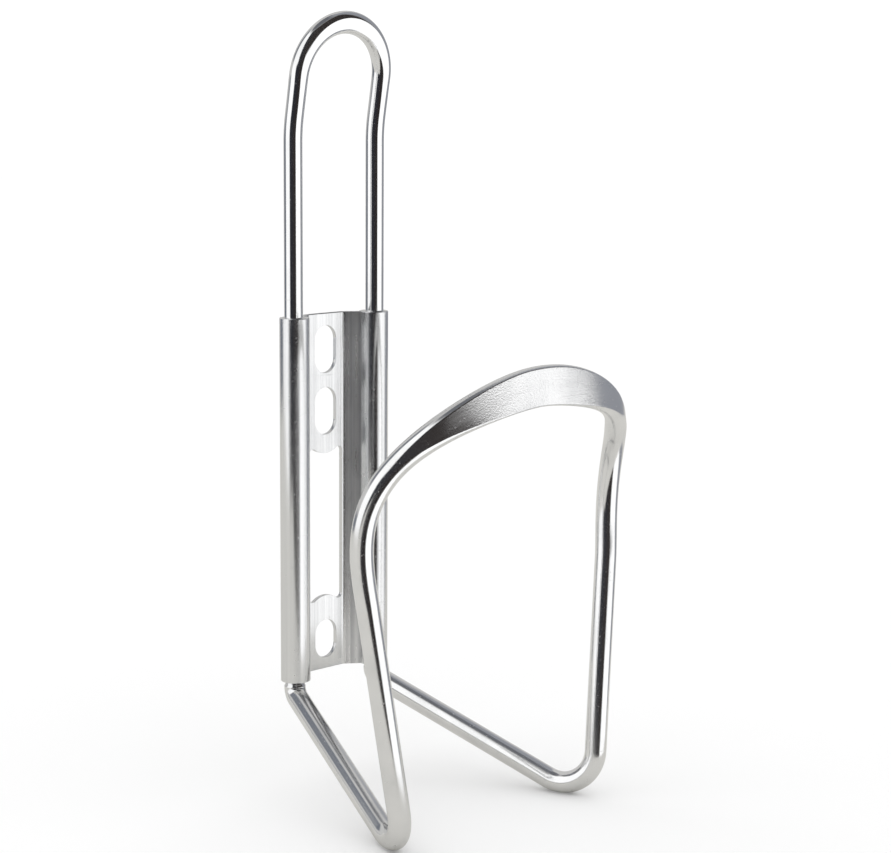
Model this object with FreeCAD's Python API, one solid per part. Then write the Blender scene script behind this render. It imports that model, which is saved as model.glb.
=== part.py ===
"""Bicycle water bottle cage for one round bottle, bolted to two frame bosses.

Three aluminium pieces: an extruded backplate with a tubular sleeve down each side, a
round rod bent into an upper hoop, and a second rod bent into the lower loop, whose front
is pressed flat to grip the bottle. The rod ends are pressed into the two sleeves.

Millimetres. +X runs across the plate, +Y points at the bicycle frame and +Z up along the
bottle. The origin is on the plate's mounting face, in the middle and halfway between the
two boss slots.
"""
import FreeCAD, Part
import math
import os

# Mounting slots
boss_spacing = 64.0            # between the two frame bosses
slot_width = 7.7
long_slot_length = 13.1        # the two upper slots
short_slot_length = 10.8       # the lower slot
top_slot_rise = 17.0           # from the upper boss slot to the extra slot above it

# Backplate profile
plate_thickness = 1.2
flat_width = 12.4              # flat web between the two bends
plate_below_slot = 8.5         # from the lower slot's centre to the bottom end
plate_above_slot = 26.9        # from the upper boss slot's centre to the top end
sleeve_spacing = 28.6          # between the two sleeves' axes
sleeve_forward = 3.8           # from the web's front face to the sleeves' axes
sleeve_wall = 1.5
sleeve_edge_break = 0.35
bore_offset = 0.3              # each bore sits this much outward in its sleeve
flange_landing_angle = 11.0    # degrees behind the sleeve's inner side
web_bend_radius = 0.8

# Window in the web
window_gap_above = 10.3        # from the upper boss slot's centre down to the window
window_gap_below = 10.9        # from the lower boss slot's centre up to the window
window_side_margin = 0.2
window_corner_radius = 1.2
lobe_width = 8.4
lobe_height = 1.4

# Rods
hoop_rod_diameter = 5.0
loop_rod_diameter = 5.8
press_clearance = 0.02         # radial, between a rod's end and its sleeve
hoop_insertion = 22.0
loop_insertion = 20.0
end_chamfer = 0.5

# Bottle
bottle_diameter = 74.0
bottle_clearance = 0.5

# Upper hoop
hoop_straight = 46.2           # straight legs above the sleeves
hoop_lean = 10.0               # degrees, forward towards the bottle
hoop_lean_radius = 40.0
hoop_leaning_length = 10.2     # from the lean to the start of the arch
hoop_press_spread = 1.0        # rod pressed on the face towards the bottle: so much wider
hoop_press_thinning = 0.9      # and so much thinner at the top of the arch
hoop_press_run = 0.25          # the pressing starts at this share of the leaning length

# Lower loop: places are a gap outside the bottle, an angle round it from the front, and
# a height. The legs' lower corners are the meeting points of the straight runs.
neck_length = 0.6              # bare neck between a sleeve and its shoulder
shoulder_length = 0.8
inner_bend_radius = 0.5        # inside the bend under each sleeve
corner_bend_radius = 9.5
corner_gap = 6.95
corner_angle = 51.9
corner_height = -70.8
leg_top_gap = 11.75
leg_top_angle = 62.6
leg_top_height = -5.3
leg_run_on = 14.84             # the curve leaves the leg's line over this length
shoulder_gap = 12.24
shoulder_angle = 72.9
shoulder_height = 30.5
brow_gap = 21.3
brow_angle = 44.1
brow_height = 38.1
strap_height = 47.2
strap_half_straight = 19.3
strap_width = 10.3
strap_thickness = 2.7
strap_full_width_half = 4.0    # pressed to full width this far from the middle
strap_press_half = 50.0        # pressing starts this far from the middle

# Pressed rod sections
land_start_share = 0.2         # half width of a land where pressing starts, per radius
land_crown = 0.06
hoop_stations = 24             # sections along the hoop's arch
strap_stations = 18            # sections along each half of the strap

bottom_end = -boss_spacing / 2 - plate_below_slot
top_end = boss_spacing / 2 + plate_above_slot
plate_length = top_end - bottom_end
bore_overrun = 1.0             # the boring tool runs out past both ends
front_face = -plate_thickness
sleeve_y = front_face - sleeve_forward
bore_radius = hoop_rod_diameter / 2 + press_clearance
sleeve_radius = bore_radius + sleeve_wall
sleeve_x = sleeve_spacing / 2
rod_x = sleeve_x + bore_offset
bottle_radius = bottle_diameter / 2
bottle_y = sleeve_y - math.sqrt((bottle_radius + sleeve_radius) ** 2 - sleeve_x ** 2)

vec = FreeCAD.Vector
up = vec(0, 0, 1)
origin = vec(0, 0, 0)
mirror_normal = vec(1, 0, 0)


def both_sides(shape):
    """The shape and its mirror image in the plane X = 0."""
    return [shape, shape.mirror(origin, mirror_normal)]


def arc_edge(first, middle, last):
    return Part.Arc(first, middle, last).toShape()


def line_edge(first, last):
    return Part.LineSegment(first, last).toShape()


def slot_cutter(width, length, height):
    """An upright slot with round ends, cut through the web along Y."""
    radius = width / 2
    reach = length / 2 - radius
    depth = 3 * plate_thickness
    start_y = -2 * plate_thickness
    low = vec(0, start_y, height - reach)
    high = vec(0, start_y, height + reach)
    side = vec(radius, 0, 0)
    edges = [
        line_edge(low + side, high + side),
        arc_edge(high + side, high + up * radius, high - side),
        line_edge(high - side, low - side),
        arc_edge(low - side, low - up * radius, low + side),
    ]
    return Part.Face(Part.Wire(edges)).extrude(vec(0, depth, 0))


def window_cutter():
    """The long window between the boss slots, with a round lobe left at each end."""
    half = flat_width / 2 - window_side_margin
    high = boss_spacing / 2 - window_gap_above
    low = -boss_spacing / 2 + window_gap_below
    start_y = -2 * plate_thickness
    depth = 3 * plate_thickness
    frame = Part.makeBox(2 * half, depth, high - low, vec(-half, start_y, low))
    corners = []
    for edge in frame.Edges:
        if abs(edge.tangentAt(edge.FirstParameter).y) > 0.9:
            corners.append(edge)
    frame = frame.makeFillet(window_corner_radius, corners)
    lobe_radius = ((lobe_width / 2) ** 2 + lobe_height ** 2) / (2 * lobe_height)
    for tip, inward in ((high - lobe_height, 1), (low + lobe_height, -1)):
        centre = vec(0, start_y, tip + inward * lobe_radius)
        frame = frame.cut(Part.makeCylinder(lobe_radius, depth, centre, vec(0, 1, 0)))
    return frame


def sleeve_blank():
    """One sleeve before boring, with both rims broken."""
    foot = vec(sleeve_x, sleeve_y, bottom_end)
    blank = Part.makeCylinder(sleeve_radius, plate_length, foot, up)
    rims = []
    for edge in blank.Edges:
        if isinstance(edge.Curve, Part.Circle):
            rims.append(edge)
    return blank.makeChamfer(sleeve_edge_break, rims)


def upright_edges(plate, away, depth):
    """The plate's long edges at this distance each side of the middle and this depth."""
    found = []
    for edge in plate.Edges:
        middle = edge.CenterOfMass
        upright = edge.Length > plate_length / 2
        if upright and abs(abs(middle.x) - away) < 1e-4 and abs(middle.y - depth) < 1e-4:
            found.append(edge)
    return found


def web_and_flanges():
    """The flat web and the two flanges that run forward into the sleeves."""
    half = flat_width / 2
    landing = math.radians(flange_landing_angle)
    target_x = sleeve_x - sleeve_radius * math.cos(landing)
    target_y = sleeve_y + sleeve_radius * math.sin(landing)
    flange_dir = vec(target_x - half, target_y - front_face, 0)
    flange_dir.normalize()
    lean = math.atan2(-flange_dir.y, flange_dir.x)
    end_front = vec(target_x, target_y, 0) + flange_dir * (sleeve_wall / 2)
    rearward = vec(-flange_dir.y, flange_dir.x, 0)
    end_back = end_front + rearward * plate_thickness
    bend_back = half + plate_thickness * math.tan(lean / 2)
    points = [
        vec(-half, front_face, 0),
        vec(half, front_face, 0),
        end_front,
        end_back,
        vec(bend_back, 0, 0),
        vec(-bend_back, 0, 0),
        vec(-end_back.x, end_back.y, 0),
        vec(-end_front.x, end_front.y, 0),
    ]
    for point in points:
        point.z = bottom_end
    outline = Part.makePolygon(points + [points[0]])
    plate = Part.Face(outline).extrude(up * plate_length)
    plate = plate.makeFillet(web_bend_radius, upright_edges(plate, half, front_face))
    back_bend_radius = web_bend_radius + plate_thickness
    return plate.makeFillet(back_bend_radius, upright_edges(plate, bend_back, 0))


def make_backplate():
    plate = web_and_flanges()
    for blank in both_sides(sleeve_blank()):
        plate = plate.fuse(blank)
    bore_foot = vec(rod_x, sleeve_y, bottom_end - bore_overrun)
    bore = Part.makeCylinder(bore_radius, plate_length + 2 * bore_overrun, bore_foot, up)
    for cutter in both_sides(bore):
        plate = plate.cut(cutter)
    lower = -boss_spacing / 2
    upper = boss_spacing / 2
    plate = plate.cut(slot_cutter(slot_width, short_slot_length, lower))
    plate = plate.cut(slot_cutter(slot_width, long_slot_length, upper))
    plate = plate.cut(slot_cutter(slot_width, long_slot_length, upper + top_slot_rise))
    plate = plate.cut(window_cutter())
    return plate.removeSplitter().Solids[0]


def smooth_step(value):
    value = min(max(value, 0.0), 1.0)
    return value * value * (3 - 2 * value)


def pressed_section(centre, width_axis, thick_axis, diameter, width, thickness, press):
    """Four arcs: a round rod at press 0, two wide flat lands joined by rounds at press 1."""
    radius = diameter / 2
    land_start = land_start_share * radius
    land_end = (width - thickness) / 2
    land = land_start + press * (land_end - land_start)
    half_width = radius + press * (width / 2 - radius)
    half_thick = radius + press * (thickness / 2 - radius)
    corner_start = math.sqrt(radius ** 2 - land_start ** 2)
    corner = corner_start + press * (thickness / 2 - land_crown - corner_start)

    def place(across, through):
        return centre + width_axis * across + thick_axis * through

    edges = [
        arc_edge(place(land, corner), place(0, half_thick), place(-land, corner)),
        arc_edge(place(-land, corner), place(-half_width, 0), place(-land, -corner)),
        arc_edge(place(-land, -corner), place(0, -half_thick), place(land, -corner)),
        arc_edge(place(land, -corner), place(half_width, 0), place(land, corner)),
    ]
    return Part.Wire(edges)


def round_sweep(edges, start, direction, diameter):
    """A round rod swept along straight runs and tangent arcs."""
    profile = Part.Wire(Part.makeCircle(diameter / 2, start, direction))
    return Part.Wire(edges).makePipeShell([profile], True, False)


def rod_end(diameter, foot, direction, length):
    """A straight rod end with a chamfer, from inside the sleeve out along direction."""
    lead = Part.makeCone(diameter / 2 - end_chamfer, diameter / 2, end_chamfer, foot, direction)
    start = foot + direction * end_chamfer
    shank = Part.makeCylinder(diameter / 2, length - end_chamfer, start, direction)
    return lead.fuse(shank)


def make_upper_hoop():
    lean = math.radians(hoop_lean)
    leaning = vec(0, -math.sin(lean), math.cos(lean))
    outward = vec(1, 0, 0)
    facing = leaning.cross(outward)
    leg_foot = vec(rod_x, sleeve_y, top_end - hoop_insertion)
    bend_start = vec(rod_x, sleeve_y, top_end + hoop_straight)
    bend_centre = bend_start + vec(0, -hoop_lean_radius, 0)
    bend_middle = bend_centre + vec(0, math.cos(lean / 2), math.sin(lean / 2)) * hoop_lean_radius
    bend_end = bend_centre + vec(0, math.cos(lean), math.sin(lean)) * hoop_lean_radius
    arch_start = bend_end + leaning * hoop_leaning_length
    press_start = bend_end + leaning * (hoop_leaning_length * hoop_press_run)

    leg = rod_end(hoop_rod_diameter, leg_foot, up, hoop_insertion + hoop_straight)
    bend = round_sweep(
        [arc_edge(bend_start, bend_middle, bend_end), line_edge(bend_end, press_start)],
        bend_start, up, hoop_rod_diameter)

    arch_centre = vec(0, arch_start.y, arch_start.z)
    run_up = (arch_start - press_start).Length
    half_length = run_up + rod_x * math.pi / 2
    press_width = hoop_rod_diameter + hoop_press_spread
    press_thickness = hoop_rod_diameter - hoop_press_thinning
    sections = []
    for index in range(hoop_stations + 1):
        travelled = 2 * half_length * index / hoop_stations
        from_end = min(travelled, 2 * half_length - travelled)
        side = 1 if travelled <= half_length else -1
        if from_end <= run_up:
            centre = press_start + leaning * from_end
            width_axis = vec(1, 0, 0)
        else:
            turn = (from_end - run_up) / rod_x
            width_axis = vec(math.cos(turn), 0, 0) + leaning * math.sin(turn)
            centre = arch_centre + width_axis * rod_x
        centre.x *= side
        width_axis.x *= side
        press = smooth_step(from_end / half_length)
        sections.append(pressed_section(
            centre, width_axis, facing * side, hoop_rod_diameter,
            press_width, press_thickness, press))
    hoop = Part.makeLoft(sections, True, False)
    for piece in both_sides(leg) + both_sides(bend):
        hoop = hoop.fuse(piece)
    return hoop.removeSplitter().Solids[0]


def beside_bottle(gap, angle, height):
    """A point outside the bottle, at an angle round it from the cage's front."""
    reach = bottle_radius + gap
    turn = math.radians(angle)
    return vec(reach * math.sin(turn), bottle_y - reach * math.cos(turn), height)


def make_lower_loop():
    rod_radius = loop_rod_diameter / 2
    neck_radius = hoop_rod_diameter / 2
    corner = beside_bottle(corner_gap, corner_angle, corner_height)
    leg_top = beside_bottle(leg_top_gap, leg_top_angle, leg_top_height)
    leg_dir = leg_top - corner
    leg_dir.normalize()

    # Neck in the sleeve, then the shoulder up to the full rod.
    neck_top = vec(rod_x, sleeve_y, bottom_end + loop_insertion)
    neck = rod_end(hoop_rod_diameter, neck_top, up * -1, loop_insertion + neck_length)
    shoulder_top = vec(rod_x, sleeve_y, bottom_end - neck_length)
    shoulder = Part.makeCone(neck_radius, rod_radius, shoulder_length, shoulder_top, up * -1)

    # Tight bend under the sleeve, in the upright plane through the front corner.
    bend_radius = rod_radius + inner_bend_radius
    bend_start = shoulder_top - up * shoulder_length
    ahead = vec(corner.x - bend_start.x, corner.y - bend_start.y, 0)
    run = ahead.Length
    ahead.normalize()
    fall = bend_start.z - corner.z
    bend_centre = bend_start + ahead * bend_radius
    to_corner = math.atan2(-fall, run - bend_radius)
    span = math.hypot(run - bend_radius, fall)
    touch = to_corner - math.acos(bend_radius / span)

    def on_bend(angle):
        return bend_centre + (ahead * math.cos(angle) + up * math.sin(angle)) * bend_radius

    bend_end = on_bend(touch)
    bend_middle = on_bend((touch - math.pi) / 2)

    # Front corner between the bottom run and the leg.
    back_dir = bend_end - corner
    back_dir.normalize()
    opening = back_dir.getAngle(leg_dir)
    tangent = corner_bend_radius / math.tan(opening / 2)
    middle_dir = back_dir + leg_dir
    middle_dir.normalize()
    to_arc = corner_bend_radius / math.sin(opening / 2) - corner_bend_radius
    corner_start = corner + back_dir * tangent
    corner_middle = corner + middle_dir * to_arc
    corner_end = corner + leg_dir * tangent
    side_rod = round_sweep([
        arc_edge(bend_start, bend_middle, bend_end),
        line_edge(bend_end, corner_start),
        arc_edge(corner_start, corner_middle, corner_end),
        line_edge(corner_end, leg_top),
    ], bend_start, up * -1, loop_rod_diameter)

    # Strap: the same rod, pressed flat where it passes round the bottle's front.
    strap_reach = bottle_clearance + strap_thickness / 2
    strap_middle = beside_bottle(strap_reach, 0, strap_height)
    poles = [
        leg_top,
        leg_top + leg_dir * leg_run_on,
        beside_bottle(shoulder_gap, shoulder_angle, shoulder_height),
        beside_bottle(brow_gap, brow_angle, brow_height),
        strap_middle + vec(strap_half_straight, 0, 0),
        strap_middle,
    ]
    path = Part.BezierCurve()
    path.setPoles(poles)
    length = path.length()
    sections = []
    for index in range(strap_stations + 1):
        from_middle = length * (1 - index / strap_stations)
        place = path.parameterAtDistance(length - from_middle, 0)
        centre = path.value(place)
        along = path.tangent(place)[0]
        outward = vec(centre.x, centre.y - bottle_y, 0)
        outward = outward - along * outward.dot(along)
        outward.normalize()
        across = along.cross(outward)
        rise = (from_middle - strap_full_width_half) / (strap_press_half - strap_full_width_half)
        press = 1 - smooth_step(rise)
        sections.append((centre, across, outward, press))
    for centre, across, outward, press in reversed(sections[:-1]):
        sections.append((
            vec(-centre.x, centre.y, centre.z), vec(across.x, -across.y, -across.z),
            vec(-outward.x, outward.y, outward.z), press))
    wires = []
    for centre, across, outward, press in sections:
        wires.append(pressed_section(
            centre, across, outward, loop_rod_diameter, strap_width, strap_thickness, press))
    loop = Part.makeLoft(wires, True, False)
    for piece in both_sides(side_rod) + both_sides(shoulder) + both_sides(neck):
        loop = loop.fuse(piece)
    return loop.removeSplitter().Solids[0]


def main():
    os.makedirs("parts", exist_ok=True)
    pieces = {
        "backplate": make_backplate(),
        "upper_hoop": make_upper_hoop(),
        "lower_loop": make_lower_loop(),
    }
    for name, shape in pieces.items():
        box = shape.BoundBox
        print(name, shape.ShapeType, len(shape.Solids), shape.isValid(), round(shape.Volume, 1),
              [round(value, 2) for value in (box.XMin, box.XMax, box.YMin, box.YMax, box.ZMin, box.ZMax)])
        shape.exportStep(os.path.join("parts", name + ".step"))


main()
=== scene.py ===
"""A bicycle water bottle cage: an extruded backplate, a wire hoop and a pressed strap loop."""

import math

import bmesh
import bpy
from mathutils import Matrix, Vector


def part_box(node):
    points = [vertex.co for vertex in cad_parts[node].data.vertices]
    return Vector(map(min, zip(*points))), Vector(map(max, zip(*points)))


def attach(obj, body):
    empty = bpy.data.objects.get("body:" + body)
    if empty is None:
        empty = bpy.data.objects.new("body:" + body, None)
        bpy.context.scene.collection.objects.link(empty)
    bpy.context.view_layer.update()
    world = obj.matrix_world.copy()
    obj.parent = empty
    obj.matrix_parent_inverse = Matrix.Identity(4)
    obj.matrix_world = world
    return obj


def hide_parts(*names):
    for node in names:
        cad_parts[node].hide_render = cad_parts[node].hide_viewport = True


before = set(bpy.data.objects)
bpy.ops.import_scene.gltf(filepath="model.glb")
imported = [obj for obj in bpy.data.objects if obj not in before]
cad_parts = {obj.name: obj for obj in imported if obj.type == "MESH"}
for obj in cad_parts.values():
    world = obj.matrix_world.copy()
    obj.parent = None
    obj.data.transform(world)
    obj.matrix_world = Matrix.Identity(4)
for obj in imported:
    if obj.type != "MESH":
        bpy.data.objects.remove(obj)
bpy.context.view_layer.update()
mm = 0.001

# ---------------------------------------------------------------------------------------
# Backplate. One length of extruded aluminium: a thin web whose edges run forward into two
# tubular sleeves. It is sawn to length, its ends are deburred, and the three bolt slots
# and the window between them are punched through the web.
# ---------------------------------------------------------------------------------------
web_thickness = 1.2 * mm
web_half_width = 6.2 * mm
sleeve_radius = 4.02 * mm
bore_radius = 2.52 * mm
bore_offset = 0.3 * mm
flange_landing = math.radians(11)      # behind the sleeve's inner side
web_bend_radius = 1.6 * mm
end_break = 0.22 * mm
punched_edge_break = 0.35 * mm

plate_low, plate_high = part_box("backplate")
plate_length = plate_high.z - plate_low.z
sleeve_x = plate_high.x - sleeve_radius
sleeve_y = plate_low.y + sleeve_radius
rod_x = sleeve_x + bore_offset

boss_spacing = 64 * mm
slot_width = 7.7 * mm
slots = [                              # centre height and length
    (-boss_spacing / 2, 10.8 * mm),
    (boss_spacing / 2, 13.1 * mm),
    (boss_spacing / 2 + 17 * mm, 13.1 * mm),
]
window_half_width = 6.0 * mm
window_low = -boss_spacing / 2 + 10.9 * mm
window_high = boss_spacing / 2 - 10.3 * mm
window_corner = 1.2 * mm
lobe_half_width = 4.2 * mm
lobe_height = 1.4 * mm


def arc_2d(centre, radius, first, last, steps):
    """Points on a flat arc from one angle to another."""
    turns = [first + (last - first) * step / steps for step in range(steps + 1)]
    return [Vector((centre[0] + radius * math.cos(t), centre[1] + radius * math.sin(t)))
            for t in turns]


def rounded_corner(before, corner, after, radius, steps=10):
    """Points on an arc of this radius that touches both of the corner's straight sides."""
    back = (before - corner).normalized()
    ahead = (after - corner).normalized()
    half = back.angle(ahead) / 2
    centre = corner + (back + ahead).normalized() * (radius / math.sin(half))
    first = corner + back * (radius / math.tan(half)) - centre
    last = corner + ahead * (radius / math.tan(half)) - centre
    points = []
    for step in range(steps + 1):
        share = step / steps
        points.append(centre + first.lerp(last, share).normalized() * radius)
    return points


def prism(name, outlines, height, edge_break):
    """A mesh of this height between closed flat outlines, centred on z = 0."""
    curve = bpy.data.curves.new(name, "CURVE")
    curve.dimensions = "2D"
    curve.fill_mode = "BOTH"
    curve.extrude = height / 2 - edge_break
    curve.bevel_depth = edge_break
    curve.bevel_resolution = 2
    curve.offset = -edge_break
    for outline in outlines:
        spline = curve.splines.new("POLY")
        spline.points.add(len(outline) - 1)
        for point, place in zip(spline.points, outline):
            point.co = (place[0], place[1], 0, 1)
        spline.use_cyclic_u = True
    holder = bpy.data.objects.new(name, curve)
    mesh = bpy.data.meshes.new_from_object(holder)
    bpy.data.objects.remove(holder)
    bpy.data.curves.remove(curve)
    work = bmesh.new()
    work.from_mesh(mesh)
    bmesh.ops.remove_doubles(work, verts=work.verts, dist=0.002 * mm)
    bmesh.ops.recalc_face_normals(work, faces=work.faces)
    work.to_mesh(mesh)
    work.free()
    return mesh


def plate_outline():
    """The extrusion's outline: the right half from the web's back to its front, then the left."""
    sleeve = Vector((sleeve_x, sleeve_y))
    landing = sleeve + sleeve_radius * Vector((-math.cos(flange_landing), math.sin(flange_landing)))
    front_bend = Vector((web_half_width, -web_thickness))
    along = (landing - front_bend).normalized()
    behind = Vector((-along.y, along.x))
    bend = along.angle(Vector((1, 0)))
    back_bend = Vector((web_half_width + web_thickness * math.tan(bend / 2), 0))
    back_gap = (sleeve - back_bend).dot(behind)
    back_run = (sleeve - back_bend).dot(along) - math.sqrt(sleeve_radius ** 2 - back_gap ** 2)
    back_landing = back_bend + along * back_run
    first = math.atan2(back_landing.y - sleeve.y, back_landing.x - sleeve.x)
    last = math.pi - flange_landing - 2 * math.pi
    half = [Vector((0, 0))]
    half += rounded_corner(half[0], back_bend, back_landing, web_bend_radius + web_thickness)
    half += arc_2d(sleeve, sleeve_radius, first, last, 96)
    half += rounded_corner(landing, front_bend, Vector((0, -web_thickness)), web_bend_radius)
    half.append(Vector((0, -web_thickness)))
    return half + [Vector((-p.x, p.y)) for p in reversed(half[1:-1])]


def slot_outline(height, length):
    radius = slot_width / 2
    reach = length / 2 - radius
    return (arc_2d((0, height + reach), radius, 0, math.pi, 32)
            + arc_2d((0, height - reach), radius, math.pi, 2 * math.pi, 32))


def window_outline():
    """A tall rectangle with rounded corners and a shallow round lobe left at each end."""
    lobe_radius = (lobe_half_width ** 2 + lobe_height ** 2) / (2 * lobe_height)
    spread = math.asin(lobe_half_width / lobe_radius)
    corner = window_half_width - window_corner
    quarter = math.pi / 2
    points = arc_2d((corner, window_low + window_corner), window_corner, -quarter, 0, 8)
    points += arc_2d((corner, window_high - window_corner), window_corner, 0, quarter, 8)
    top = (0, window_high - lobe_height + lobe_radius)
    points += arc_2d(top, lobe_radius, -quarter + spread, -quarter - spread, 24)
    points += arc_2d((-corner, window_high - window_corner), window_corner, quarter, math.pi, 8)
    points += arc_2d((-corner, window_low + window_corner), window_corner,
                     math.pi, 3 * quarter, 8)
    bottom = (0, window_low + lobe_height - lobe_radius)
    points += arc_2d(bottom, lobe_radius, quarter + spread, quarter - spread, 24)
    return points


def evaluated_mesh(piece, name):
    """The piece's mesh with its modifiers applied, as a plain mesh."""
    bpy.context.view_layer.update()
    graph = bpy.context.evaluated_depsgraph_get()
    mesh = bpy.data.meshes.new_from_object(piece.evaluated_get(graph))
    mesh.name = name
    return mesh


bores = [arc_2d((side * rod_x, sleeve_y), bore_radius, 0, 2 * math.pi * 63 / 64, 63)
         for side in (1, -1)]
plate_mesh = prism("backplate_extrusion", [plate_outline()] + bores, plate_length, end_break)
plate_mesh.transform(Matrix.Translation((0, 0, (plate_low.z + plate_high.z) / 2)))
backplate = bpy.data.objects.new("backplate_extrusion", plate_mesh)
bpy.context.scene.collection.objects.link(backplate)

punch_outlines = [slot_outline(height, length) for height, length in slots]
punch_mesh = prism("punches", punch_outlines + [window_outline()], 6 * web_thickness, 0)
punch_mesh.transform(Matrix.Rotation(math.pi / 2, 4, "X"))
punches = bpy.data.objects.new("punches", punch_mesh)
bpy.context.scene.collection.objects.link(punches)

punching = backplate.modifiers.new("punching", "BOOLEAN")
punching.operation = "DIFFERENCE"
punching.solver = "EXACT"
punching.object = punches
deburring = backplate.modifiers.new("deburring", "BEVEL")
deburring.width = punched_edge_break
deburring.segments = 3
deburring.limit_method = "ANGLE"
deburring.angle_limit = math.radians(55)
backplate.data = evaluated_mesh(backplate, "backplate_extrusion")
backplate.modifiers.clear()
bpy.data.objects.remove(punches)
backplate.data.shade_smooth()
flat_shading = backplate.modifiers.new("flat_shading", "WEIGHTED_NORMAL")
flat_shading.keep_sharp = True


def add_node(tree, kind, inputs=None, **settings):
    """A new node; inputs maps a socket's name or index to a value or another node's output."""
    node = tree.nodes.new(kind)
    for key, value in settings.items():
        setattr(node, key, value)
    for key, value in (inputs or {}).items():
        if isinstance(value, bpy.types.NodeSocket):
            tree.links.new(value, node.inputs[key])
        else:
            node.inputs[key].default_value = value
    return node


def maths(tree, operation, first, second=0.0):
    """The output of a Math node."""
    return add_node(tree, "ShaderNodeMath", {0: first, 1: second}, operation=operation).outputs[0]


def vector_maths(tree, operation, first, second):
    node = add_node(tree, "ShaderNodeVectorMath", {0: first, 1: second}, operation=operation)
    return node.outputs["Value" if operation == "DOT_PRODUCT" else "Vector"]


def mapped(tree, value, low, high, to_low, to_high, shape="LINEAR"):
    """The output of a clamped Map Range node."""
    node = add_node(tree, "ShaderNodeMapRange",
                    {"Value": value, "From Min": low, "From Max": high,
                     "To Min": to_low, "To Max": to_high}, interpolation_type=shape)
    return node.outputs["Result"]


def noise(tree, vector, scale, detail=2.0, roughness=0.5):
    node = add_node(tree, "ShaderNodeTexNoise",
                    {"Vector": vector, "Scale": scale, "Detail": detail, "Roughness": roughness})
    return node.outputs["Fac"]


def mixed_colour(tree, factor, first, second):
    """The colour from a Mix node, whose sockets 6 and 7 take the two colours."""
    node = add_node(tree, "ShaderNodeMix", {0: factor, 6: first, 7: second}, data_type="RGBA")
    return node.outputs[2]


def layered(tree, base, *layers):
    """A value with each layer's mask added to it, times that layer's weight."""
    for mask, weight in layers:
        base = maths(tree, "ADD", base, maths(tree, "MULTIPLY", mask, weight))
    return base


def new_group(name, inputs, outputs):
    """A shader node group with these named sockets; returns the tree and its two end nodes."""
    tree = bpy.data.node_groups.new(name, "ShaderNodeTree")
    for socket, kind, value in inputs:
        made = tree.interface.new_socket(socket, in_out="INPUT", socket_type=kind)
        if value is not None:
            made.default_value = value
    for socket in outputs:
        tree.interface.new_socket(socket, in_out="OUTPUT", socket_type="NodeSocketFloat")
    return tree, tree.nodes.new("NodeGroupInput"), tree.nodes.new("NodeGroupOutput")


def drawn_lines_group():
    """Fine lines that a die leaves along the metal; the vector's third axis runs along them."""
    tree, given, result = new_group(
        "drawn_lines",
        [("Along Z", "NodeSocketVector", None), ("Lines per metre", "NodeSocketFloat", 4000.0),
         ("Length ratio", "NodeSocketFloat", 0.004)],
        ["Height", "Bands"])
    across = given.outputs["Lines per metre"]
    ratio = add_node(tree, "ShaderNodeCombineXYZ",
                     {"X": 1.0, "Y": 1.0, "Z": given.outputs["Length ratio"]})
    stretched = vector_maths(tree, "MULTIPLY", given.outputs["Along Z"], ratio.outputs[0])
    fine = noise(tree, stretched, across, 3.0, 0.6)
    broad = noise(tree, stretched, maths(tree, "MULTIPLY", across, 0.22), 2.0, 0.5)
    tree.links.new(fine, result.inputs["Height"])
    tree.links.new(mapped(tree, broad, 0.35, 0.65, 0.0, 1.0), result.inputs["Bands"])
    return tree


def handling_group():
    """Marks of handling on bright metal: faint cloudy smudges, hairline scratches and specks."""
    tree, given, result = new_group(
        "handling_marks", [("Vector", "NodeSocketVector", None)],
        ["Smudge", "Scratch", "Speck"])
    place = given.outputs["Vector"]
    cloud = noise(tree, place, 90.0, 4.0, 0.55)
    tree.links.new(mapped(tree, cloud, 0.42, 0.72, 0.0, 1.0), result.inputs["Smudge"])
    scratches = None
    for turn, stretch in (((0.3, 0.2, 0.5), (1.0, 0.035, 1.0)),
                          ((0.9, 1.1, 0.1), (0.04, 1.0, 1.0))):
        turned = add_node(tree, "ShaderNodeMapping",
                          {"Vector": place, "Rotation": turn, "Scale": stretch})
        grain = noise(tree, turned.outputs[0], 1500.0, 1.0, 0.4)
        hair = mapped(tree, grain, 0.71, 0.76, 0.0, 1.0)
        scratches = hair if scratches is None else maths(tree, "MAXIMUM", scratches, hair)
    tree.links.new(scratches, result.inputs["Scratch"])
    cells = add_node(tree, "ShaderNodeTexVoronoi", {"Vector": place, "Scale": 700.0})
    tree.links.new(mapped(tree, cells.outputs["Distance"], 0.03, 0.08, 1.0, 0.0),
                   result.inputs["Speck"])
    return tree


drawn_lines = drawn_lines_group()
handling_marks = handling_group()


def bright_metal(name, tint):
    """A material with a fully metallic shader of this colour; returns it, its tree and shader."""
    material = bpy.data.materials.new(name)
    material.use_nodes = True
    tree = material.node_tree
    shader = tree.nodes["Principled BSDF"]
    shader.inputs["Metallic"].default_value = 1.0
    shader.inputs["Base Color"].default_value = tint
    return material, tree, shader


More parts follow.
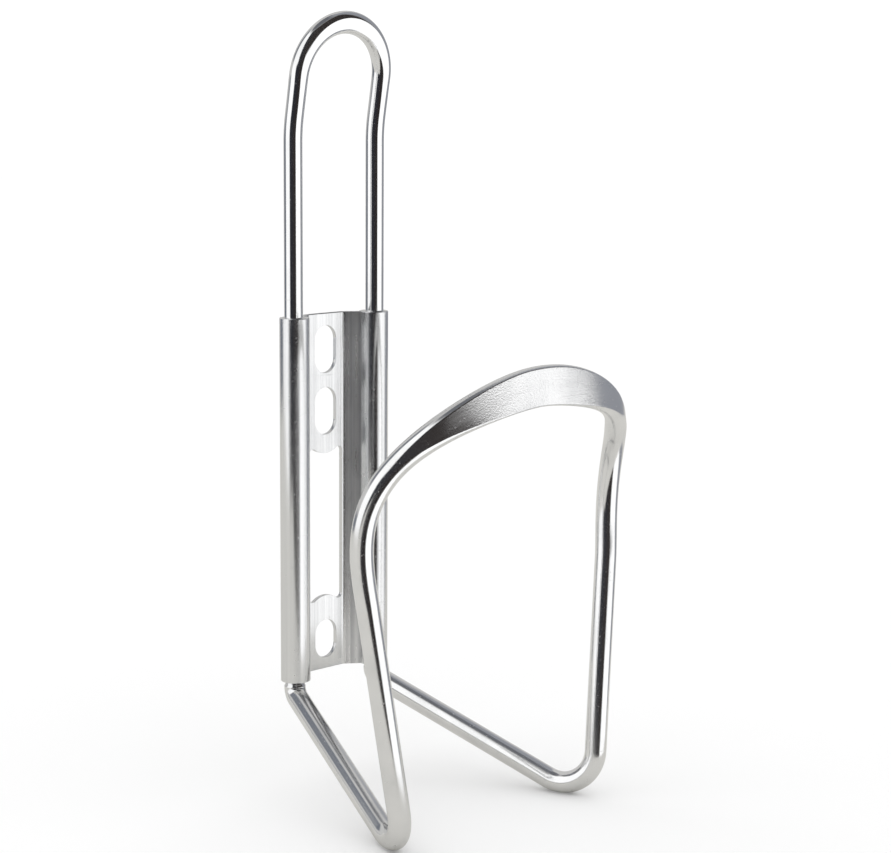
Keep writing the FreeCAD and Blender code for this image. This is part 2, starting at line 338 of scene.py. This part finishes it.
def satin_extrusion():
    """Bright dipped extrusion: die lines up its length, a soft sheen, light handling marks."""
    tint = (0.85, 0.855, 0.86, 1)
    streak_colour = (0.6, 0.605, 0.62, 1)
    # painted shade: the dark colour given to the punched edges' breaks
    painted_edge_shade_colour = (0.2, 0.205, 0.22, 1)
    flange_starts = (6.2 * mm, 7.2 * mm)   # each mask fades between two distances from x = 0
    flange_ends = (10.2 * mm, 10.8 * mm)
    punching_ends = (5.95 * mm, 6.1 * mm)
    line_depth = 0.02 * mm
    material, tree, shader = bright_metal("satin_extrusion", tint)
    coordinates = add_node(tree, "ShaderNodeTexCoord")
    place = coordinates.outputs["Object"]
    lines = add_node(tree, "ShaderNodeGroup", node_tree=drawn_lines)
    tree.links.new(place, lines.inputs["Along Z"])
    lines.inputs["Lines per metre"].default_value = 5200.0
    marks = add_node(tree, "ShaderNodeGroup", node_tree=handling_marks)
    tree.links.new(place, marks.inputs["Vector"])

    # The die lines are deepest on the sloping flanges. The punched edges are made rougher, and
    # their edge breaks get painted shade: a dark colour mixed in where they turn away from the
    # web's faces.
    across = add_node(tree, "ShaderNodeSeparateXYZ", {0: place}).outputs["X"]
    across = maths(tree, "ABSOLUTE", across)
    flange = maths(tree, "MULTIPLY", mapped(tree, across, *flange_starts, 0.0, 1.0),
                   mapped(tree, across, *flange_ends, 1.0, 0.0))
    normal = add_node(tree, "ShaderNodeSeparateXYZ", {0: coordinates.outputs["Normal"]})
    frontness = maths(tree, "ABSOLUTE", normal.outputs["Y"])
    painted_edge_shade = maths(tree, "MULTIPLY", mapped(tree, frontness, 0.9, 0.985, 1.0, 0.0),
                mapped(tree, frontness, 0.05, 0.25, 0.0, 1.0))
    painted_edge_shade = maths(tree, "MULTIPLY", painted_edge_shade, mapped(tree, across, *punching_ends, 1.0, 0.0))

    rough = layered(tree, mapped(tree, lines.outputs["Bands"], 0.0, 1.0, 0.15, 0.21),
                    (marks.outputs["Smudge"], 0.05), (marks.outputs["Scratch"], 0.08),
                    (flange, 0.11), (painted_edge_shade, 0.15))
    tree.links.new(rough, shader.inputs["Roughness"])
    streaks = maths(tree, "MULTIPLY", lines.outputs["Bands"],
                    mapped(tree, flange, 0.0, 1.0, 0.3, 1.0))
    colour = mixed_colour(tree, streaks, tint, streak_colour)
    # Painted shade: the punched edges' breaks are mixed towards the dark colour.
    colour = mixed_colour(tree, painted_edge_shade, colour, painted_edge_shade_colour)
    tree.links.new(colour, shader.inputs["Base Color"])
    height = maths(tree, "MULTIPLY", lines.outputs["Height"],
                   mapped(tree, flange, 0.0, 1.0, 0.3, 2.4))
    bump = add_node(tree, "ShaderNodeBump",
                    {"Height": height, "Strength": 0.2, "Distance": line_depth})
    tree.links.new(bump.outputs[0], shader.inputs["Normal"])
    surface_normal = add_node(tree, "ShaderNodeNewGeometry").outputs["Normal"]
    level = vector_maths(tree, "CROSS_PRODUCT", surface_normal, (0, 0, 1))
    tree.links.new(level, shader.inputs["Tangent"])
    shader.inputs["Anisotropic"].default_value = 0.8
    return material


backplate.data.materials.clear()
backplate.data.materials.append(satin_extrusion())
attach(backplate, "root")
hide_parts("backplate")

# ---------------------------------------------------------------------------------------
# Upper hoop. A round polished rod bent over at the top, its two ends pressed down into the
# sleeves. It leans towards the bottle, and the top of its arch is pressed a little flat.
# ---------------------------------------------------------------------------------------
hoop_rod_radius = 2.5 * mm
hoop_insertion = 22 * mm
hoop_straight = 46.2 * mm
hoop_lean = math.radians(10)
hoop_lean_radius = 40 * mm
hoop_leaning_length = 10.2 * mm
hoop_press_reach = 30.6 * mm           # each way from the middle of the arch
hoop_press_width = 6.0 * mm
hoop_press_thickness = 4.1 * mm
end_chamfer = 0.5 * mm
straight_step = 4 * mm                 # longest gap between rings, by kind of run
lean_step = 0.8 * mm
arch_step = 0.5 * mm


def arc_3d(centre, spoke, axis, angle, step):
    """Points on an arc swept by a spoke turning about an axis, the first one left out."""
    count = max(2, math.ceil(spoke.length * abs(angle) / step))
    return [centre + Matrix.Rotation(angle * index / count, 3, axis) @ spoke
            for index in range(1, count + 1)]


def run_3d(first, last, step):
    """Points along a straight run, the first one left out."""
    count = max(1, math.ceil((last - first).length / step))
    return [first.lerp(last, index / count) for index in range(1, count + 1)]


def mirrored(points):
    """The points, then their mirror images back to the start, with the middle one once."""
    return points + [Vector((-p.x, p.y, p.z)) for p in reversed(points[:-1])]


def hoop_half():
    """The hoop's centre line from the right leg's end to the middle of the arch."""
    foot = Vector((rod_x, sleeve_y, plate_high.z - hoop_insertion))
    bend = Vector((rod_x, sleeve_y, plate_high.z + hoop_straight))
    points = [foot] + run_3d(foot, foot + Vector((0, 0, end_chamfer)), end_chamfer)
    points += run_3d(points[-1], bend, straight_step)
    centre = bend - Vector((0, hoop_lean_radius, 0))
    points += arc_3d(centre, bend - centre, Vector((1, 0, 0)), hoop_lean, lean_step)
    leaning = Vector((0, -math.sin(hoop_lean), math.cos(hoop_lean)))
    arch = points[-1] + leaning * hoop_leaning_length
    points += run_3d(points[-1], arch, lean_step)
    middle = Vector((0, arch.y, arch.z))
    across = leaning.cross(Vector((1, 0, 0)))
    points += arc_3d(middle, arch - middle, across, -math.pi / 2, arch_step)
    return points


def make_rail(name, points, radii, outwards):
    """A line of edges along a rod's centre, with the rod's radius and the pressed side."""
    mesh = bpy.data.meshes.new(name)
    mesh.from_pydata(points, [(index, index + 1) for index in range(len(points) - 1)], [])
    radius = mesh.attributes.new("rod_radius", "FLOAT", "POINT")
    outward = mesh.attributes.new("outward", "FLOAT_VECTOR", "POINT")
    for index, (size, direction) in enumerate(zip(radii, outwards)):
        radius.data[index].value = size
        outward.data[index].vector = direction
    rail = bpy.data.objects.new(name, mesh)
    bpy.context.scene.collection.objects.link(rail)
    return rail


def pressed_section(tree, given, radius, press, share_round):
    """A section point's distance across the rod and its height, from its share of the way round.

    Half thickness and half width run from the round rod's radius to the pressed size. The
    section is two flat lands joined by rounded sides, its points spread evenly round it.
    """
    half_thick = mapped(tree, press, 0.0, 1.0, radius,
                        maths(tree, "MULTIPLY", given["Pressed Thickness"], 0.5))
    half_wide = mapped(tree, press, 0.0, 1.0, radius,
                       maths(tree, "MULTIPLY", given["Pressed Width"], 0.5))
    cut = maths(tree, "SUBTRACT", maths(tree, "MULTIPLY", radius, radius),
                maths(tree, "MULTIPLY", half_thick, half_thick))
    cut = maths(tree, "SQRT", maths(tree, "MAXIMUM", cut, 0.0))
    spread = maths(tree, "ADD", cut, maths(tree, "SUBTRACT", half_wide, radius))
    land = maths(tree, "MULTIPLY", spread, given["Land Share"])
    side = maths(tree, "SUBTRACT", half_wide, land)
    squares = maths(tree, "ADD", maths(tree, "MULTIPLY", half_thick, half_thick),
                    maths(tree, "MULTIPLY", side, side))
    side_radius = maths(tree, "DIVIDE", maths(tree, "MULTIPLY", squares, 0.5), side)
    lean = maths(tree, "ARCSINE", maths(tree, "MINIMUM", 1.0,
                                        maths(tree, "DIVIDE", half_thick, side_radius)))
    side_run = maths(tree, "MULTIPLY", side_radius, lean)
    land_share = maths(tree, "DIVIDE", land, maths(tree, "ADD", land, side_run))
    turn = maths(tree, "MULTIPLY", share_round, 2 * math.pi)
    cosine = maths(tree, "COSINE", turn)
    quarter = maths(tree, "ABSOLUTE", maths(tree, "DIVIDE", maths(tree, "ARCSINE", cosine),
                                            math.pi / 2))
    on_land = mapped(tree, quarter, 0.0, land_share, 0.0, land)
    swing = mapped(tree, quarter, land_share, 1.0, lean, 0.0)
    rounding = maths(tree, "SUBTRACT", maths(tree, "COSINE", swing), maths(tree, "COSINE", lean))
    wide = maths(tree, "ADD", on_land, maths(tree, "MULTIPLY", side_radius, rounding))
    wide = maths(tree, "MULTIPLY", wide, maths(tree, "SIGN", cosine))
    thick = maths(tree, "MULTIPLY", side_radius, maths(tree, "SINE", swing))
    thick = maths(tree, "MULTIPLY", thick, maths(tree, "SIGN", maths(tree, "SINE", turn)))
    return wide, thick


def pressed_rod_tree():
    """Geometry nodes that sweep a round rod along a rail and press it flat about its middle."""
    tree = bpy.data.node_groups.new("pressed_rod", "GeometryNodeTree")
    tree.interface.new_socket("Geometry", in_out="INPUT", socket_type="NodeSocketGeometry")
    for name, kind in (("Pressed Width", "NodeSocketFloat"),
                       ("Pressed Thickness", "NodeSocketFloat"),
                       ("Land Share", "NodeSocketFloat"),
                       ("Fully Pressed Reach", "NodeSocketFloat"),
                       ("Press Reach", "NodeSocketFloat"),
                       ("Sides", "NodeSocketInt"),
                       ("Material", "NodeSocketMaterial")):
        tree.interface.new_socket(name, in_out="INPUT", socket_type=kind)
    tree.interface.new_socket("Geometry", in_out="OUTPUT", socket_type="NodeSocketGeometry")
    given = tree.nodes.new("NodeGroupInput").outputs

    rail = add_node(tree, "GeometryNodeMeshToCurve", {0: given["Geometry"]})
    spline = add_node(tree, "GeometryNodeSplineParameter")
    total = add_node(tree, "GeometryNodeSplineLength").outputs["Length"]
    from_middle = maths(tree, "ABSOLUTE", maths(
        tree, "SUBTRACT", spline.outputs["Length"], maths(tree, "MULTIPLY", total, 0.5)))
    press = mapped(tree, from_middle, given["Fully Pressed Reach"], given["Press Reach"],
                   1.0, 0.0, "SMOOTHSTEP")
    on_rail = tree.nodes.new("GeometryNodeCaptureAttribute")
    position = tree.nodes.new("GeometryNodeInputPosition").outputs[0]
    tangent = tree.nodes.new("GeometryNodeInputTangent").outputs[0]
    captured = {}
    for kind, name, field in (("VECTOR", "centre", position), ("VECTOR", "along", tangent),
                              ("FLOAT", "travelled", spline.outputs["Length"]),
                              ("FLOAT", "press", press)):
        on_rail.capture_items.new(kind, name)
        tree.links.new(field, on_rail.inputs[name])
        captured[name] = on_rail.outputs[name]
    tree.links.new(rail.outputs[0], on_rail.inputs[0])

    circle = add_node(tree, "GeometryNodeCurvePrimitiveCircle",
                      {"Resolution": given["Sides"], "Radius": 1.0})
    on_circle = tree.nodes.new("GeometryNodeCaptureAttribute")
    on_circle.capture_items.new("FLOAT", "turn")
    index = tree.nodes.new("GeometryNodeInputIndex").outputs[0]
    tree.links.new(maths(tree, "DIVIDE", index, given["Sides"]), on_circle.inputs["turn"])
    tree.links.new(circle.outputs["Curve"], on_circle.inputs[0])
    swept = add_node(tree, "GeometryNodeCurveToMesh",
                     {"Curve": on_rail.outputs[0], "Profile Curve": on_circle.outputs[0],
                      "Fill Caps": True})

    def named(name, kind):
        field = add_node(tree, "GeometryNodeInputNamedAttribute", {"Name": name}, data_type=kind)
        return field.outputs["Attribute"]

    def scaled(vector, factor):
        node = add_node(tree, "ShaderNodeVectorMath", {"Scale": factor}, operation="SCALE")
        tree.links.new(vector, node.inputs[0])
        return node.outputs["Vector"]

    along = captured["along"]
    outward = named("outward", "FLOAT_VECTOR")
    outward = vector_maths(tree, "SUBTRACT", outward,
                           scaled(along, vector_maths(tree, "DOT_PRODUCT", outward, along)))
    outward = add_node(tree, "ShaderNodeVectorMath", {0: outward}, operation="NORMALIZE").outputs[0]
    across = vector_maths(tree, "CROSS_PRODUCT", along, outward)

    wide, thick = pressed_section(tree, given, named("rod_radius", "FLOAT"),
                                  captured["press"], on_circle.outputs["turn"])
    place = vector_maths(tree, "ADD", captured["centre"],
                         vector_maths(tree, "ADD", scaled(across, wide), scaled(outward, thick)))
    shaped = add_node(tree, "GeometryNodeSetPosition",
                      {"Geometry": swept.outputs[0], "Position": place})

    unbent = add_node(tree, "ShaderNodeCombineXYZ",
                      {"X": wide, "Y": thick, "Z": captured["travelled"]})
    kept = add_node(tree, "GeometryNodeStoreNamedAttribute",
                    {"Geometry": shaped.outputs[0], "Name": "unbent_place",
                     "Value": unbent.outputs[0]}, data_type="FLOAT_VECTOR", domain="POINT")
    kept = add_node(tree, "GeometryNodeStoreNamedAttribute",
                    {"Geometry": kept.outputs[0], "Name": "pressed",
                     "Value": captured["press"]},
                    data_type="FLOAT", domain="POINT")
    real = add_node(tree, "GeometryNodeRealizeInstances", {0: kept.outputs[0]})
    smooth = add_node(tree, "GeometryNodeSetShadeSmooth", {0: real.outputs[0]})
    finish = add_node(tree, "GeometryNodeSetMaterial",
                      {"Geometry": smooth.outputs[0], "Material": given["Material"]})
    result = tree.nodes.new("NodeGroupOutput")
    tree.links.new(finish.outputs[0], result.inputs[0])
    return tree


pressed_rod = pressed_rod_tree()


def sweep_rod(rail, sizes):
    """Replaces a rail's line by the rod that the pressed_rod tree sweeps along it."""
    sweep = rail.modifiers.new("sweep", "NODES")
    sweep.node_group = pressed_rod
    for socket in pressed_rod.interface.items_tree:
        if socket.in_out == "INPUT" and socket.name in sizes:
            sweep[socket.identifier] = sizes[socket.name]
    line = rail.data
    rail.data = evaluated_mesh(rail, rail.name)
    rail.modifiers.clear()
    bpy.data.meshes.remove(line)
    for helper in ("rod_radius", "outward"):
        rail.data.attributes.remove(rail.data.attributes[helper])


def polished_rod(name, roughness, pressed_roughness, grain_bump):
    """Polished drawn rod: faint die lines along it, and a satin grain where it was pressed."""
    tint = (0.9, 0.902, 0.905, 1)
    smudge_colour = (0.82, 0.825, 0.83, 1)
    mark_depth = 0.02 * mm
    material, tree, shader = bright_metal(name, tint)
    place = add_node(tree, "ShaderNodeTexCoord").outputs["Object"]
    unbent = add_node(tree, "ShaderNodeAttribute", attribute_name="unbent_place")
    pressed = add_node(tree, "ShaderNodeAttribute", attribute_name="pressed").outputs["Fac"]
    lines = add_node(tree, "ShaderNodeGroup", node_tree=drawn_lines)
    tree.links.new(unbent.outputs["Vector"], lines.inputs["Along Z"])
    lines.inputs["Lines per metre"].default_value = 3500.0
    marks = add_node(tree, "ShaderNodeGroup", node_tree=handling_marks)
    tree.links.new(place, marks.inputs["Vector"])
    grain_mask = mapped(tree, pressed, 0.4, 0.85, 0.0, 1.0, "SMOOTHSTEP")
    grain = noise(tree, place, 2600.0, 2.0, 0.6)
    rough = layered(tree, mapped(tree, grain_mask, 0.0, 1.0, roughness, pressed_roughness),
                    (marks.outputs["Smudge"], 0.035), (marks.outputs["Scratch"], 0.12),
                    (lines.outputs["Bands"], 0.03))
    tree.links.new(rough, shader.inputs["Roughness"])
    colour = mixed_colour(tree, marks.outputs["Smudge"], tint, smudge_colour)
    tree.links.new(colour, shader.inputs["Base Color"])
    height = layered(tree, maths(tree, "MULTIPLY", lines.outputs["Height"], 0.12),
                     (maths(tree, "MULTIPLY", grain, grain_mask), grain_bump),
                     (marks.outputs["Speck"], -0.08))
    bump = add_node(tree, "ShaderNodeBump",
                    {"Height": height, "Strength": 0.5, "Distance": mark_depth})
    tree.links.new(bump.outputs[0], shader.inputs["Normal"])
    return material


hoop_line = mirrored(hoop_half())
hoop_radii = [hoop_rod_radius] * len(hoop_line)
hoop_radii[0] = hoop_radii[-1] = hoop_rod_radius - end_chamfer
pressed_side = Vector((0, -math.cos(hoop_lean), -math.sin(hoop_lean)))
upper_hoop = make_rail("wire_hoop", hoop_line, hoop_radii, [pressed_side] * len(hoop_line))
sweep_rod(upper_hoop, {
    "Pressed Width": hoop_press_width, "Pressed Thickness": hoop_press_thickness,
    "Land Share": 0.7, "Fully Pressed Reach": 0.0, "Press Reach": hoop_press_reach,
    "Sides": 96, "Material": polished_rod("polished_hoop", 0.08, 0.1, 0.3)})
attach(upper_hoop, "root")
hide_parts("upper_hoop")

# ---------------------------------------------------------------------------------------
# Lower loop. A thicker polished rod, its ends turned down to fit the sleeves from below.
# It runs forward under the bottle, up each side of it, and is pressed to a flat strap where
# it passes round the bottle's front.
# ---------------------------------------------------------------------------------------
loop_rod_radius = 2.9 * mm
loop_insertion = 20 * mm
neck_length = 0.6 * mm
shoulder_length = 0.8 * mm
neck_corner_drop = 3.729 * mm          # the runs meet this far below the plate
neck_bend_radius = 3.4 * mm
front_bend_radius = 9.5 * mm
strap_width = 10.3 * mm
strap_thickness = 2.7 * mm
strap_full_reach = 4 * mm
strap_press_reach = 50 * mm
strap_half_straight = 19.3 * mm
leg_run_on = 14.84 * mm
bottle_radius = 37 * mm
bottle_gap = 0.5 * mm
neck_step = 0.25 * mm
front_step = 0.5 * mm
shortest_run = 0.05 * mm
off_axis = 0.01 * mm                   # less than this still counts as inside the sleeve
bottle_y = sleeve_y - math.sqrt((bottle_radius + sleeve_radius) ** 2 - sleeve_x ** 2)


def beside_bottle(gap, angle, height):
    """A point outside the bottle: gap and height in mm, angle in degrees from the front."""
    reach = bottle_radius + gap * mm
    turn = math.radians(angle)
    return Vector((reach * math.sin(turn), bottle_y - reach * math.cos(turn), height * mm))


def round_bend(before, corner, after, radius, step):
    """Points on the arc that rounds a corner between two straight runs."""
    back = (before - corner).normalized()
    ahead = (after - corner).normalized()
    half = back.angle(ahead) / 2
    centre = corner + (back + ahead).normalized() * (radius / math.sin(half))
    touch = corner + back * (radius / math.tan(half))
    spoke = touch - centre
    return [touch] + arc_3d(centre, spoke, ahead.cross(back), math.pi - 2 * half, step)


def bezier_point(poles, share):
    """A point on the Bezier curve with these poles."""
    while len(poles) > 1:
        poles = [first.lerp(last, share) for first, last in zip(poles, poles[1:])]
    return poles[0]


def loop_half():
    """The loop's centre line from the right neck's end to the middle of the strap."""
    neck_end = Vector((rod_x, sleeve_y, plate_low.z + loop_insertion))
    under_sleeve = Vector((rod_x, sleeve_y, plate_low.z - neck_corner_drop))
    front_corner = beside_bottle(6.95, 51.9, -70.8)
    leg_top = beside_bottle(11.75, 62.6, -5.3)
    leg_bend = beside_bottle(12.24, 72.9, 30.5)
    strap_side = beside_bottle(21.3, 44.1, 38.1)
    strap_middle = beside_bottle(0, 0, 47.2) - Vector((0, bottle_gap + strap_thickness / 2, 0))
    down = Vector((0, 0, -1))
    points = [neck_end, neck_end + down * end_chamfer]
    neck_foot = neck_end + down * (loop_insertion + neck_length)
    points += run_3d(points[-1], neck_foot, straight_step)
    points += run_3d(points[-1], neck_foot + down * shoulder_length, shoulder_length / 4)
    for bend in (round_bend(neck_end, under_sleeve, front_corner, neck_bend_radius, neck_step),
                 round_bend(under_sleeve, front_corner, leg_top, front_bend_radius, front_step)):
        if (bend[0] - points[-1]).length > shortest_run:
            points += run_3d(points[-1], bend[0], straight_step)
        points += bend[1:]
    points += run_3d(points[-1], leg_top, straight_step)
    poles = [
        leg_top,
        leg_top + (leg_top - front_corner).normalized() * leg_run_on,
        leg_bend,
        strap_side,
        strap_middle + Vector((strap_half_straight, 0, 0)),
        strap_middle,
    ]
    steps = 150
    return points + [bezier_point(poles, index / steps) for index in range(1, steps + 1)]


def loop_radius(point):
    """The rod's radius: thin in the sleeve and neck, then the shoulder, then the full rod."""
    below = plate_low.z - neck_length - point.z
    inside_sleeve = abs(point.y - sleeve_y) < off_axis and abs(abs(point.x) - rod_x) < off_axis
    if not inside_sleeve or below >= shoulder_length:
        return loop_rod_radius
    share = max(below, 0) / shoulder_length
    return hoop_rod_radius + share * (loop_rod_radius - hoop_rod_radius)


loop_line = mirrored(loop_half())
loop_radii = [loop_radius(point) for point in loop_line]
loop_radii[0] = loop_radii[-1] = hoop_rod_radius - end_chamfer
from_bottle = [Vector((point.x, point.y - bottle_y, 0)) for point in loop_line]
lower_loop = make_rail("strap_loop", loop_line, loop_radii, from_bottle)
sweep_rod(lower_loop, {
    "Pressed Width": strap_width, "Pressed Thickness": strap_thickness,
    "Land Share": 0.97, "Fully Pressed Reach": strap_full_reach,
    "Press Reach": strap_press_reach,
    "Sides": 144, "Material": polished_rod("polished_loop", 0.13, 0.22, 4.5)})
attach(lower_loop, "root")
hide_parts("lower_loop")

# ---------------------------------------------------------------------------------------
# Studio. The eye sees a wide white floor and a white surround. Reflections in the metal see
# another surround, placed to give it its bands: a grey room with dark openings in
# front and overhead, pale boards to the left and right, and a small table standing askew.
# ---------------------------------------------------------------------------------------
camera_place = Vector((-386.5, -440.3, 119.1)) * mm
camera_turn = math.radians(44.576)
camera_dip = math.radians(8.877)
camera_roll = math.radians(0.408)
lens_mm = 87.14
sensor_mm = 36
nearest_seen = 20 * mm

right_of_view = Vector((math.cos(camera_turn), -math.sin(camera_turn), 0))
towards_camera = Vector((-math.sin(camera_turn), -math.cos(camera_turn), 0))
view_line = -towards_camera * math.cos(camera_dip) - Vector((0, 0, math.sin(camera_dip)))
view_up = Vector((0, 0, math.cos(camera_dip))) - towards_camera * math.sin(camera_dip)
image_right = right_of_view * math.cos(camera_roll) + view_up * math.sin(camera_roll)
image_up = view_up * math.cos(camera_roll) - right_of_view * math.sin(camera_roll)
camera_data = bpy.data.cameras.new("camera")
camera_data.lens = lens_mm
camera_data.sensor_width = sensor_mm
camera_data.clip_start = nearest_seen
camera = bpy.data.objects.new("camera", camera_data)
camera.matrix_world = Matrix.Translation(camera_place) @ Matrix(
    (image_right, image_up, -view_line)).transposed().to_4x4()
bpy.context.scene.collection.objects.link(camera)
bpy.context.scene.camera = camera

floor_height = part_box("lower_loop")[0].z
floor_reach = 4.0
table_outs = (-0.7, 0.135)
table_sides = (-0.45, 0.9)
table_turn = math.radians(60)          # the table stands askew to the view
table_gap = 0.3 * mm


def stage_sheet(name, turn, outs, sides, height, colour):
    """A level sheet of plain matt card; outs run towards the camera, sides to the right."""
    ahead = towards_camera * math.cos(turn) + right_of_view * math.sin(turn)
    aside = right_of_view * math.cos(turn) - towards_camera * math.sin(turn)
    places = ((outs[0], sides[0]), (outs[0], sides[1]), (outs[1], sides[1]), (outs[1], sides[0]))
    corners = [ahead * out + aside * side + Vector((0, 0, height)) for out, side in places]
    mesh = bpy.data.meshes.new(name)
    mesh.from_pydata(corners, [], [(3, 2, 1, 0)])
    material = bpy.data.materials.new(name)
    material.use_nodes = True
    shader = material.node_tree.nodes["Principled BSDF"]
    shader.inputs["Base Color"].default_value = colour
    shader.inputs["Roughness"].default_value = 1.0
    shader.inputs["Specular IOR Level"].default_value = 0.0
    mesh.materials.append(material)
    sheet = bpy.data.objects.new(name, mesh)
    bpy.context.scene.collection.objects.link(sheet)
    return sheet


# The metal shows a small table and the room past its edges, while the eye sees a wide floor.
floor = stage_sheet("floor", 0, (-floor_reach, floor_reach), (-floor_reach, floor_reach),
                    floor_height, (0.96, 0.96, 0.96, 1))
floor.visible_glossy = False
table = stage_sheet("table", table_turn, table_outs, table_sides,
                    floor_height + table_gap, (0.64, 0.63, 0.6, 1))
table.visible_camera = False
table.visible_diffuse = False
table.visible_shadow = False


def tent_world():
    """White for the eye; for reflections, grey with dark openings and pale boards."""
    world = bpy.data.worlds.new("tent")
    world.use_nodes = True
    tree = world.node_tree
    heading = add_node(tree, "ShaderNodeTexCoord").outputs["Generated"]
    out = vector_maths(tree, "DOT_PRODUCT", heading, tuple(towards_camera))
    side = vector_maths(tree, "DOT_PRODUCT", heading, tuple(right_of_view))
    rise = add_node(tree, "ShaderNodeSeparateXYZ", {0: heading}).outputs["Z"]
    degree = math.pi / 180
    turn = maths(tree, "DIVIDE", maths(tree, "ARCTAN2", side, out), degree)
    lift = maths(tree, "DIVIDE", maths(tree, "ARCSINE", rise), degree)

    def between(angle, low, high, blur):
        """1 between two angles and 0 outside them, with soft edges."""
        rising = mapped(tree, angle, low - blur, low + blur, 0.0, 1.0, "SMOOTHSTEP")
        falling = mapped(tree, angle, high - blur, high + blur, 1.0, 0.0, "SMOOTHSTEP")
        return maths(tree, "MULTIPLY", rising, falling)

    dark = mixed_colour(tree, mapped(tree, turn, -35, 25, 0.0, 1.0),
                        (0.022, 0.025, 0.034, 1), (0.027, 0.022, 0.021, 1))
    white = (1.12, 1.12, 1.12, 1)
    seen = (0.58, 0.575, 0.565, 1)
    far_left = (0.16, 0.175, 0.205, 1)
    patches = (                            # degrees right of the camera, degrees up, tone
        ((-200, 200), (66, 100), (0.13, 0.135, 0.15, 1)),      # overhead
        ((-132, -92), (-60, 1), far_left),
        ((-124, -98), (16, 56), far_left),
        ((104, 158), (-60, 80), (0.29, 0.3, 0.33, 1)),         # far right
        ((-92, -38), (-60, 62), white),                        # left board, in two parts
        ((-60, -27), (10, 62), white),
        ((36, 101), (-60, 3), (1.22, 1.22, 1.22, 1)),          # low right board
        ((-38, 38), (-60, 8), dark),                           # front opening, in two parts
        ((-27, 104), (2, 64), dark),
    )
    turn_blur = 4
    lift_blur = 2.5
    for turns, lifts, tone in patches:
        patch = maths(tree, "MULTIPLY", between(turn, *turns, turn_blur),
                      between(lift, *lifts, lift_blur))
        seen = mixed_colour(tree, patch, seen, tone)
    glossy = tree.nodes.new("ShaderNodeLightPath").outputs["Is Glossy Ray"]
    colour = mixed_colour(tree, glossy, (1.06, 1.06, 1.06, 1), seen)
    tree.links.new(colour, tree.nodes["Background"].inputs["Color"])
    return world


bpy.context.scene.world = tent_world()
bpy.context.scene.view_settings.view_transform = "Standard"
